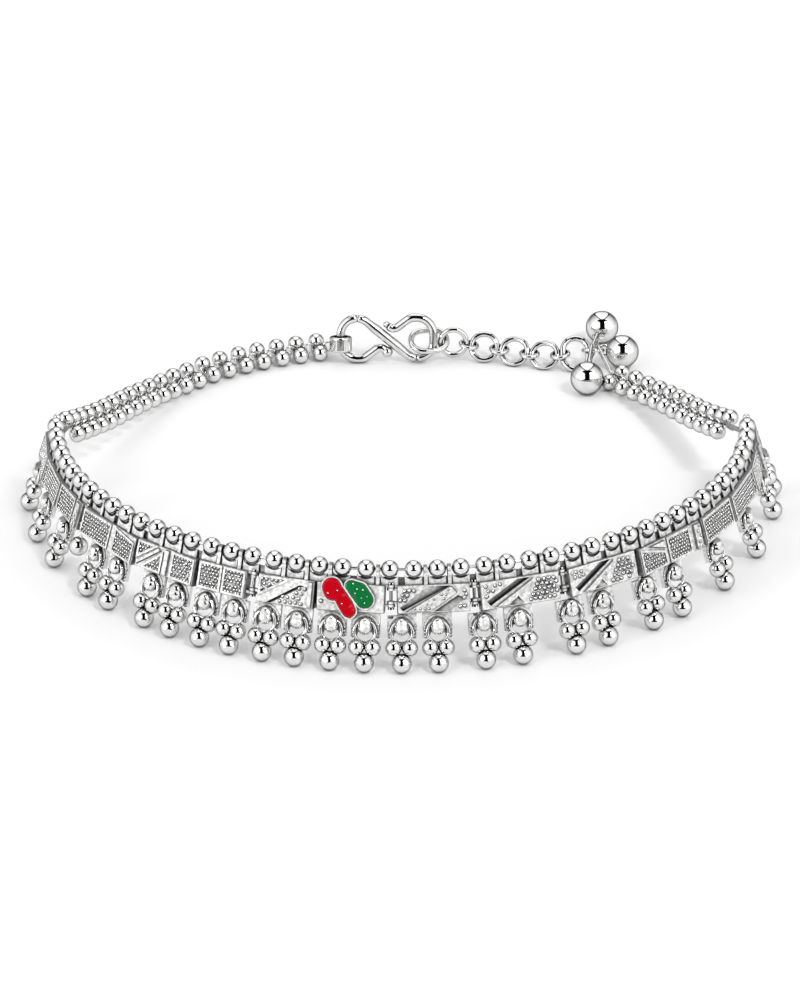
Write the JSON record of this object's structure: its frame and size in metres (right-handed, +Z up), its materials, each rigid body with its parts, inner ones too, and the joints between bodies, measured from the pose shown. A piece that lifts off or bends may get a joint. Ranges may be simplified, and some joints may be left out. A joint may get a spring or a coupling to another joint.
{
  "type": "anklet",
  "caption": "Closed anklet loop of hinged relief plates with hanging ball tassels and two enamel inlays, a double ball chain, an S-hook, an extender chain and large end balls.",
  "frame": {"origin": "middle of the anklet's bounding box, on the surface it lies on", "axes": "+Z up, along the axis of the loop; +Y towards the clasp; +X to the right when the enamel plate faces the viewer"},
  "size_m": [0.0921, 0.0934, 0.0124],
  "materials": {
    "silver": "polished silver",
    "enamel_red": "glossy enamel",
    "enamel_green": "glossy enamel"
  },
  "bodies": {
    "root": {"ball_drop_1": "silver", "ball_drop_2": "silver", "ball_drop_3": "silver", "chain_end_link": "silver", "chain_left": "silver", "chain_right": "silver", "enamel_green": "enamel_green", "enamel_red": "enamel_red", "end_ring": "silver", "extender_link_1": "silver", "extender_link_2": "silver", "extender_link_3": "silver", "extender_link_4": "silver", "extender_ring_1": "silver", "extender_ring_2": "silver", "extender_ring_3": "silver", "extender_ring_4": "silver", "hinge_pins": "silver", "hook_barrel": "silver", "hook_ring": "silver", "hub_ring": "silver", "plate_01": "silver", "plate_02": "silver", "plate_03": "silver", "plate_04": "silver", "plate_05": "silver", "plate_06": "silver", "plate_07": "silver", "plate_08": "silver", "plate_09": "silver", "plate_10": "silver", "plate_11": "silver", "plate_12": "silver", "plate_13": "silver", "plate_14": "silver", "plate_15": "silver", "plate_16": "silver", "s_hook": "silver", "tassels_01": "silver", "tassels_02": "silver", "tassels_03": "silver", "tassels_04": "silver", "tassels_05": "silver", "tassels_06": "silver", "tassels_07": "silver", "tassels_08": "silver", "tassels_09": "silver", "tassels_10": "silver", "tassels_11": "silver", "tassels_12": "silver", "tassels_13": "silver", "tassels_14": "silver", "tassels_15": "silver", "tassels_16": "silver", "top_beads_left": "silver", "top_beads_right": "silver", "top_wire": "silver"}
  },
  "joints": []
}
